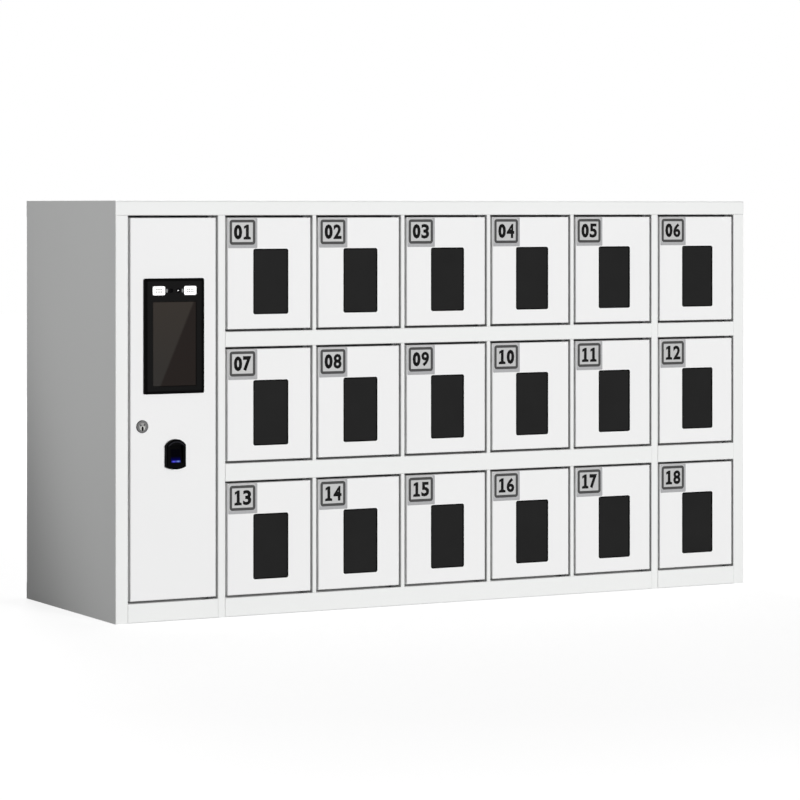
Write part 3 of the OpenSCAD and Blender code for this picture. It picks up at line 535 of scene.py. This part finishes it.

# %% [markdown]
# ## Printed label finishes
#
# Each door's number stands on a printed aluminium label. Brushed aluminium has fine lines along its
# length, here drawn half a millimetre apart so that they show. Its lacquered grey field is paler
# than the label's margin, which shows darker at the right and below; a dark grey frame line and
# black digits are silk-screened on it, and all of them are matt.

# %% Printed label finishes
BRUSH_MM, BRUSH_STRETCH = 0.5, (0.03, 1, 1)
label_grey, tree, shader = new_finish("printed_aluminium_label", Roughness=0.45, Metallic=0.0)
place = add_node(tree, "ShaderNodeTexCoord").outputs["Object"]
turn = add_node(tree, "ShaderNodeMapping", {"Vector": place, "Scale": BRUSH_STRETCH})
brush = add_node(tree, "ShaderNodeTexNoise", {
    "Vector": turn.outputs["Vector"], "Scale": 1 / (BRUSH_MM * MM)})
tone = add_node(tree, "ShaderNodeMix", {
    "Factor": brush.outputs["Fac"], "A": colour("#b4b4b4"), "B": colour("#c1c1c1")},
    data_type="RGBA")
tree.links.new(tone.outputs["Result"], shader.inputs["Base Color"])
# The margin shows darker grey at the right and below the paler field.
margin_grey = moulded("label_margin_grey", "#adadaf", 0.5, 0.2, 4, 0.002)
line_ink = moulded("screen_ink_grey", "#494949", 0.5, 0.1, 4, 0.002)
# This black is the digits' ink and also the painted shade in the lock's keyway.
ink_and_shade_black = moulded("screen_ink_and_painted_shade_black", "#101010", 0.5, 0.05, 4, 0.002)
print("label finish:", label_grey.name)

# %% [markdown]
# ## Digits
#
# The bold two-digit numbers start as text objects. Every digit is made to fill a cell of the same
# size, as on a printed counter. Blender's own font draws a bare stroke for a 1, while the real one
# stands on a foot, so that digit is drawn from its corners, in millimetres. The font's strokes are
# made bolder by an outline offset, 0 and 7 by more than the others. The text is turned into a mesh
# before it is placed, so it is part of the model like everything else.

# %% Digits as meshes
DIGIT_W, DIGIT_H, DIGIT_PITCH = 16.6, 27, 18.2
BOLD, BOLDER = 0.036, 0.056
CURVE_STEPS = 3
ONE = [(-7.2, -13.5), (7.4, -13.5), (7.4, -9.6), (3.4, -7.8), (3.4, 13.5), (-0.9, 13.5),
       (-6.4, 10.4), (-6.4, 5.6), (-2.6, 7.6), (-2.6, -7.8), (-7.2, -9.6)]


def printed_digit(character):
    bm = bmesh.new()
    if character == "1":
        bm.faces.new([bm.verts.new((x * MM, y * MM, 0)) for x, y in ONE])
        return bm
    curve = bpy.data.curves.new("digit", "FONT")
    curve.body = character
    curve.offset = BOLDER if character in "07" else BOLD
    curve.resolution_u = CURVE_STEPS
    holder = bpy.data.objects.new("digit", curve)
    bpy.context.scene.collection.objects.link(holder)
    bpy.context.view_layer.update()
    evaluated = holder.evaluated_get(bpy.context.evaluated_depsgraph_get())
    mesh = bpy.data.meshes.new_from_object(evaluated)
    bpy.data.objects.remove(holder)
    bm.from_mesh(mesh)
    bmesh.ops.remove_doubles(bm, verts=bm.verts, dist=1e-5)
    xs, ys = [v.co.x for v in bm.verts], [v.co.y for v in bm.verts]
    wide, tall = max(xs) - min(xs), max(ys) - min(ys)
    bmesh.ops.translate(bm, vec=(-min(xs) - wide / 2, -min(ys) - tall / 2, 0), verts=bm.verts)
    bmesh.ops.scale(bm, vec=(DIGIT_W * MM / wide, DIGIT_H * MM / tall, 1), verts=bm.verts)
    return bm


def printed_number(text):
    both = bmesh.new()
    for side, character in zip((-0.5, 0.5), text):
        digit = printed_digit(character)
        bmesh.ops.translate(digit, vec=(side * DIGIT_PITCH * MM, 0, 0), verts=digit.verts)
        mesh = bpy.data.meshes.new("digit")
        digit.to_mesh(mesh)
        digit.free()
        both.from_mesh(mesh)
    return both


print("digits", DIGIT_W, "x", DIGIT_H, "mm")

# %% [markdown]
# ## Number plates
#
# Each door carries its label at its upper left. The label is a thin plate whose grey margin shows
# at the right and below. A paler field, a rounded frame line and the number lie on it as flat
# shapes about a tenth of a millimetre thick, as ink does. A picture could carry the print, but it
# would be coarse from near by, while shapes stay sharp. The door's box reaches 8 mm above its
# sheet, because its hinge pin stands up there, so the label's place is measured from below the pin.

# %% Labels on the doors
LABEL_W, LABEL_H, LABEL_T = 57.6, 54.4, 0.6
LABEL_LEFT, LABEL_DOWN, LABEL_CORNER, LABEL_ROUND = 1.6, 0.8, 1.5, 0.2
LINE_W, LINE_H, LINE_LEFT, LINE_DOWN = 51.4, 45.3, 2.1, 3.0
LINE_CORNER, LINE_BORDER = 5.5, 5.0
FIELD_W, FIELD_H, FIELD_INSET, FIELD_CORNER = 52.4, 47.1, 0.6, 3
FIELD_INK, LINE_INK, DIGIT_INK = 0.04, 0.08, 0.12
DIGITS_RIGHT, DIGITS_UP = 0.2, 0.3
PIN_LENGTH = 8
for number, door in enumerate(DOORS, start=1):
    low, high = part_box(door)
    left, top = low.x / MM + LABEL_LEFT, high.z / MM - PIN_LENGTH - LABEL_DOWN
    printed = FRONT - LABEL_T * MM

    plate = flat_shape(LABEL_W, LABEL_H, LABEL_CORNER)
    thicken(plate, LABEL_T, edge=LABEL_ROUND)
    add_piece(f"label_{number:02d}", plate, margin_grey, door,
              at_front((left + LABEL_W / 2) * MM, FRONT, (top - LABEL_H / 2) * MM))

    field = flat_shape(FIELD_W, FIELD_H, FIELD_CORNER)
    thicken(field, FIELD_INK)
    field_x, field_z = left + FIELD_INSET + FIELD_W / 2, top - FIELD_INSET - FIELD_H / 2
    add_piece(f"label_field_{number:02d}", field, label_grey, door,
              at_front(field_x * MM, printed, field_z * MM))

    middle_x = (left + LINE_LEFT + LINE_W / 2) * MM
    middle_z = (top - LINE_DOWN - LINE_H / 2) * MM
    line = flat_shape(LINE_W, LINE_H, LINE_CORNER)
    cut_inside(line, LINE_BORDER)
    thicken(line, LINE_INK)
    add_piece(f"label_line_{number:02d}", line, line_ink, door,
              at_front(middle_x, printed, middle_z))

    digits = printed_number(f"{number:02d}")
    thicken(digits, DIGIT_INK)
    add_piece(f"label_digits_{number:02d}", digits, ink_and_shade_black, door,
              at_front(middle_x + DIGITS_RIGHT * MM, printed, middle_z + DIGITS_UP * MM))
print("labels", LABEL_W, "x", LABEL_H, "mm on", len(DOORS), "doors")

# %% [markdown]
# ## The face terminal's rim
#
# Round the terminal runs a raised rim of gloss black, a few millimetres wide and about half a
# millimetre high. It could be cut into the housing, but that is a CAD node and keeps its shape, so
# the rim is a rounded flat ring on it, whose front edges catch a fine line of light.

# %% Terminal rim
RIM_W, RIM_T, RIM_CORNER, RIM_ROUND, RIM_PLAY = 4.6, 0.6, 2.5, 0.25, 1
low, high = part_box("terminal_housing")
face_y = low.y
centre_x, centre_z = (low.x + high.x) / 2, (low.z + high.z) / 2
rim = flat_shape((high.x - low.x) / MM - RIM_PLAY, (high.z - low.z) / MM - RIM_PLAY, RIM_CORNER)
cut_inside(rim, RIM_W)
thicken(rim, RIM_T, edge=RIM_ROUND)
add_piece("terminal_rim", rim, abs_rim, "control_door",
          at_front(centre_x, face_y, centre_z))
print("terminal face at y =", round(face_y, 4))

# %% [markdown]
# ## The screen's mask
#
# A black print under the cover glass hides the rim of the display. It could be painted in the
# screen's material, but a thin frame on the glass gives a sharper line. Its opening sits a hair to
# the left and is slightly less tall than an even border would make it, as on a real panel.

# %% Screen mask
MASK_BORDER, MASK_PLAY, MASK_SHIFT, MASK_SQUASH, MASK_INK = 0.9, 0.4, 0.3, 0.996, 0.08
INNER_MARGIN = 0.8
low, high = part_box("terminal_screen")
mask = flat_shape((high.x - low.x) / MM - MASK_PLAY, (high.z - low.z) / MM - MASK_PLAY, 0)
cut_inside(mask, MASK_BORDER)
inner = [v for v in mask.verts if abs(v.co.x) < (high.x - low.x) / 2 - INNER_MARGIN * MM]
bmesh.ops.scale(mask, vec=(1, MASK_SQUASH, 1), verts=inner)
bmesh.ops.translate(mask, vec=(-MASK_SHIFT * MM, 0, 0), verts=inner)
thicken(mask, MASK_INK)
add_piece("screen_mask", mask, abs_rim, "control_door",
          at_front((low.x + high.x) / 2, low.y, (low.z + high.z) / 2))
print("mask opening has", len(inner), "corners")

# %% [markdown]
# ## Infrared windows and LED chips
#
# Beside each fill lamp is a small grey window for its infrared LED, a rounded tablet that stands a
# little proud. Inside each lamp two rows of four LED chips shimmer through the milky cover. A
# see-through cover could show chips behind it, but the cover is one solid, so they are laid on its
# face as faint grey squares. The chips of a lamp are one piece, because they sit on one strip.

# %% Infrared windows and LED chips
INFRARED_W, INFRARED_H, INFRARED_CORNER, INFRARED_T, INFRARED_ROUND = 3.4, 6.6, 1.4, 0.25, 0.1
INFRARED_OUT, LAMP_OUT = 15.3, 30.5
CHIP_COLUMNS, CHIP_HALF, CHIP_PITCH, CHIP_ROW, CHIP_T = 4, 1.1, 3.4, 2.2, 0.08
lamp_low, lamp_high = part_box("terminal_lamps")
optics_z = (lamp_low.z + lamp_high.z) / 2
for side, which in ((-1, "left"), (1, "right")):
    window = flat_shape(INFRARED_W, INFRARED_H, INFRARED_CORNER)
    thicken(window, INFRARED_T, edge=INFRARED_ROUND)
    add_piece(f"infrared_window_{which}", window, led_grey, "control_door",
              at_front(centre_x + side * INFRARED_OUT * MM, face_y, optics_z))
    chips = bmesh.new()
    for column in range(CHIP_COLUMNS):
        chip_x = (column - (CHIP_COLUMNS - 1) / 2) * CHIP_PITCH * MM
        for row in (-1, 1):
            chip = bmesh.ops.create_grid(chips, x_segments=1, y_segments=1, size=CHIP_HALF * MM)
            bmesh.ops.translate(chips, vec=(chip_x, row * CHIP_ROW * MM, 0), verts=chip["verts"])
    thicken(chips, CHIP_T)
    add_piece(f"lamp_chips_{which}", chips, chip_white, "control_door",
              at_front(centre_x + side * LAMP_OUT * MM, lamp_low.y, optics_z))
print("lamp chips:", 2 * CHIP_COLUMNS, "in each lamp")

# %% [markdown]
# ## The camera's bright speck
#
# The right-hand camera shows a tiny bright speck, a glint of its lens element in its dark hole. A
# true glint would come and go with the view, so a small pale disc stands in for it.

# %% Lens speck
SPECK_R, SPECK_T, SPECK_RIGHT, SPECK_BACK, SPECK_SIDES = 1.1, 0.1, 7, 0.7, 16
speck = bmesh.new()
bmesh.ops.create_circle(speck, cap_ends=True, segments=SPECK_SIDES, radius=SPECK_R * MM)
thicken(speck, SPECK_T)
speck_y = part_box("camera_lenses")[0].y + SPECK_BACK * MM
# Painted glint: the speck glows a little, in the lamps' white.
add_piece("lens_speck", speck, lamp_and_glint_white, "control_door",
          at_front(centre_x + SPECK_RIGHT * MM, speck_y, optics_z))
print("speck", 2 * SPECK_R, "mm across")

# %% [markdown]
# ## The cam lock's face
#
# The cam lock's plug face carries painted light and shade. A paler oval on its lower half round the
# dark keyway is painted light, a black oval over the keyway is painted shade in the keyhole, and
# two dark grey spots above are painted shadow. At 0.2 mm and less a cut and a raised shape look
# alike, so they are discs and ovals scaled from a circle, and they ride on the plug and turn with
# the key.

# %% Painted light and shade on the plug
OVAL_SIDES, HOLLOW_SIDES = 32, 16
HOLLOW_R, HOLLOW_T, HOLLOWS = 1.5, 0.05, ((-3.5, 2.7), (3.8, 3.0))
plug_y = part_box("lock_plug")[0].y
low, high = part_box("lock_barrel")
plug_x, plug_z = (low.x + high.x) / 2, (low.z + high.z) / 2
# Painted light on the plug: a paler oval on its lower half, and a black oval over the keyway as
# painted shade.
for name, wide, tall, drop, lift, finish in (
        ("plug_disc", 9.2, 8.6, 3.2, 0.1, painted_light_nickel),
        ("keyway_painted_shade", 4.2, 7.8, 3.6, 0.2, ink_and_shade_black)):
    oval = bmesh.new()
    bmesh.ops.create_circle(oval, cap_ends=True, segments=OVAL_SIDES, radius=0.5)
    bmesh.ops.scale(oval, vec=(wide * MM, tall * MM, 1), verts=oval.verts)
    thicken(oval, lift)
    add_piece(name, oval, finish, "lock_plug",
              at_front(plug_x, plug_y, plug_z - drop * MM))

hollows = bmesh.new()
for x, y in HOLLOWS:
    hollow = bmesh.ops.create_circle(
        hollows, cap_ends=True, segments=HOLLOW_SIDES, radius=HOLLOW_R * MM)
    bmesh.ops.translate(hollows, vec=(x * MM, y * MM, 0), verts=hollow["verts"])
thicken(hollows, HOLLOW_T)
# Painted shadow: two dark grey spots above the plug's paler half.
add_piece("plug_hollows", hollows, painted_light_grey, "lock_plug",
          at_front(plug_x, plug_y, plug_z))
print("lock at", round(plug_x, 4), round(plug_z, 4))

# %% [markdown]
# ## The reader's hood arc
#
# A fine grey arc near the top of the reader's hood is a painted highlight, where its black gloss
# would catch the light. A bevelled curve could make it, but a strip between two arcs is as plain:
# pairs of points are set out by angle about one centre, and each pair is joined to the next by a
# face.

# %% Reader hood arc
ARC_INNER, ARC_OUTER, ARC_DROP, ARC_T = 19.4, 21, 25, 0.1
ARC_START, ARC_SWEEP, ARC_STEPS = 40, 100, 16
low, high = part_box("fingerprint_reader")
arc = bmesh.new()
for step in range(ARC_STEPS + 1):
    angle = math.radians(ARC_START + ARC_SWEEP * step / ARC_STEPS)
    for radius in (ARC_INNER, ARC_OUTER):
        arc.verts.new((radius * MM * math.cos(angle), radius * MM * math.sin(angle), 0))
arc.verts.ensure_lookup_table()
for step in range(ARC_STEPS):
    arc.faces.new([arc.verts[2 * step + k] for k in (0, 1, 3, 2)])
thicken(arc, ARC_T)
# Painted highlight: a thin paler arc on the black hood.
add_piece("reader_hood_arc", arc, painted_light_grey, "control_door",
          at_front((low.x + high.x) / 2, low.y, high.z - ARC_DROP * MM))
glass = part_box("fingerprint_window")
print("sensor glass", [round((b - a) / MM, 1) for a, b in zip(*glass)], "mm")

# %% [markdown]
# ## Screws on the back
#
# The rear panel comes off for service, so it is held by a row of pan-head screws round its edge.
# One head is a short, slightly tapered cone; an inset face pushed in makes its socket, which is
# simpler than cutting a cross. All heads go into one mesh, because they are one bag of fasteners,
# and a dozen sides are enough.

# %% Rear screws
HEAD_R, HEAD_T, HEAD_SIDES, HEAD_TAPER, SOCKET_SHARE = 4.2, 2.2, 12, 0.8, 0.4
SCREW_INSET, SCREW_COLUMNS, SIDE_SHARES = 14, 7, (0.33, 0.6)
FACE_BACK = Matrix.Rotation(math.radians(-90), 4, "X")


def screw_head(bm, x, y, z):
    cone = bmesh.ops.create_cone(
        bm, cap_ends=True, segments=HEAD_SIDES, radius1=HEAD_R * MM,
        radius2=HEAD_TAPER * HEAD_R * MM, depth=HEAD_T * MM)
    verts = set(cone["verts"])
    faces = [face for v in cone["verts"] for face in v.link_faces]
    top = max(faces, key=lambda face: face.calc_center_median().z)
    bmesh.ops.inset_region(bm, faces=[top], thickness=SOCKET_SHARE * HEAD_R * MM)
    bmesh.ops.translate(bm, vec=(0, 0, -0.5 * HEAD_T * MM), verts=top.verts)
    verts.update(v for corner in top.verts for edge in corner.link_edges for v in edge.verts)
    bmesh.ops.transform(
        bm, verts=list(verts), matrix=Matrix.Translation((x, y, z)) @ FACE_BACK)


low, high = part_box("rear_panel")
screws = bmesh.new()
inset = SCREW_INSET * MM
columns = [low.x + inset + i * (high.x - low.x - 2 * inset) / (SCREW_COLUMNS - 1)
           for i in range(SCREW_COLUMNS)]
heads = [(x, z) for x in columns for z in (low.z + inset, high.z - inset)]
heads += [(x, low.z + share * (high.z - low.z))
          for x in (columns[0], columns[-1]) for share in SIDE_SHARES]
for x, z in heads:
    screw_head(screws, x, high.y, z)
add_piece("rear_screws", screws, screw_zinc, "cabinet", Matrix.Identity(4))
print(len(heads), "rear screws")

# %% [markdown]
# ## The white backdrop
#
# The photograph is a catalogue picture on pure white. A camera ray that misses the cabinet should
# find white, but the white must not flood the object with light. A cut-out on white would do that
# too, but it would lose the soft shadow. So the world looks white only to camera, mirror and glass
# rays, which the Light Path node tells apart, and lights the scene with a modest grey.

# %% World
SKY = 0.1


def seen_directly(tree):
    path = add_node(tree, "ShaderNodeLightPath")
    either = add_node(tree, "ShaderNodeMath", {
        0: path.outputs["Is Camera Ray"], 1: path.outputs["Is Glossy Ray"]},
        operation="MAXIMUM")
    return add_node(tree, "ShaderNodeMath", {
        0: either.outputs[0], 1: path.outputs["Is Transmission Ray"]},
        operation="MAXIMUM").outputs[0]


world = bpy.data.worlds.new("white_studio")
bpy.context.scene.world = world
world.use_nodes = True
tree = world.node_tree
strength = add_node(tree, "ShaderNodeMapRange", {
    "Value": seen_directly(tree), "To Min": SKY, "To Max": 1.0})
background = tree.nodes["Background"]
background.inputs["Color"].default_value = (1, 1, 1, 1)
tree.links.new(strength.outputs["Result"], background.inputs["Strength"])
print("world light", SKY)

# %% [markdown]
# ## The floor
#
# The floor is studio paper: a big flat sheet. To light that bounces it is a plain grey, so it
# doesn't light the cabinet much from below. Seen directly it has light of its own, just under white
# near the cabinet and white further out, and what the lamps add makes up the rest. Where they don't
# reach, the cabinet's soft shadow stays.

# %% Floor
FLOOR_HALF = 15
NEAR_M, FAR_M, NEAR_LIFT, FAR_LIFT = 1.5, 4.0, 0.82, 1.0
sheet = bmesh.new()
bmesh.ops.create_grid(sheet, x_segments=1, y_segments=1, size=FLOOR_HALF)
mesh = bpy.data.meshes.new("floor")
sheet.to_mesh(mesh)
sheet.free()
floor = bpy.data.objects.new("floor", mesh)
bpy.context.scene.collection.objects.link(floor)

floor_white = bpy.data.materials.new("studio_floor")
floor_white.use_nodes = True
tree = floor_white.node_tree
tree.nodes.remove(tree.nodes["Principled BSDF"])
paper = add_node(tree, "ShaderNodeBsdfDiffuse", {"Color": colour("#6c6c6c")})
shade = add_node(tree, "ShaderNodeBsdfDiffuse", {"Color": (0.4, 0.4, 0.4, 1)})
place = add_node(tree, "ShaderNodeTexCoord").outputs["Object"]
away = add_node(tree, "ShaderNodeVectorMath", {0: place}, operation="LENGTH")
sweep = add_node(tree, "ShaderNodeMapRange", {
    "Value": away.outputs["Value"], "From Min": NEAR_M, "From Max": FAR_M,
    "To Min": NEAR_LIFT, "To Max": FAR_LIFT})
lift = add_node(tree, "ShaderNodeEmission", {
    "Color": (1, 1, 1, 1), "Strength": sweep.outputs["Result"]})
bright = add_node(tree, "ShaderNodeAddShader", {0: shade.outputs[0], 1: lift.outputs[0]})
choice = add_node(tree, "ShaderNodeMixShader", {
    0: seen_directly(tree), 1: paper.outputs[0], 2: bright.outputs[0]})
tree.links.new(choice.outputs[0], tree.nodes["Material Output"].inputs["Surface"])
mesh.materials.append(floor_white)
print("floor", 2 * FLOOR_HALF, "m wide")

# %% [markdown]
# ## The lamps
#
# A large soft lamp in front and to the right lights the doors evenly, as a photographer's softbox
# does. The left side stays in soft shade: a wide spot lamp, aimed past it, has a soft rim that
# fades towards its lower rear corner, which a plain soft lamp couldn't do. Two weaker lamps, behind
# and to the right, keep the hidden sides from going dark when the cabinet is seen from there.

# %% Lamps
def aim_lamp(name, light, place, aim, power):
    light.energy = power
    lamp = bpy.data.objects.new(name, light)
    lamp.location = place
    lamp.rotation_euler = (Vector(aim) - Vector(place)).to_track_quat("-Z", "Y").to_euler()
    bpy.context.scene.collection.objects.link(lamp)


for name, place, aim, size, power in (
        ("front_lamp", (0.9, -8.6, 0.9), (0, 0, 0.4), 1.6, 614),
        ("back_lamp", (1.2, 5.5, 2.6), (0, 0.4, 0.5), 2.0, 170),
        ("right_lamp", (5.2, 0.9, 2.0), (0.7, 0, 0.4), 1.6, 60)):
    disk = bpy.data.lights.new(name, "AREA")
    disk.shape = "DISK"
    disk.size = size
    aim_lamp(name, disk, place, aim, power)

spot = bpy.data.lights.new("side_beam", "SPOT")
spot.spot_size = math.radians(126)
spot.spot_blend = 0.3445
spot.shadow_soft_size = 0.1
aim_lamp("side_beam", spot, (-2.2675, -0.19, 0.8), (-0.6675, -1.3, 1.2), 30.6)
bpy.context.scene.view_settings.view_transform = "Standard"
print("lamps:", [lamp.name for lamp in bpy.data.lights])
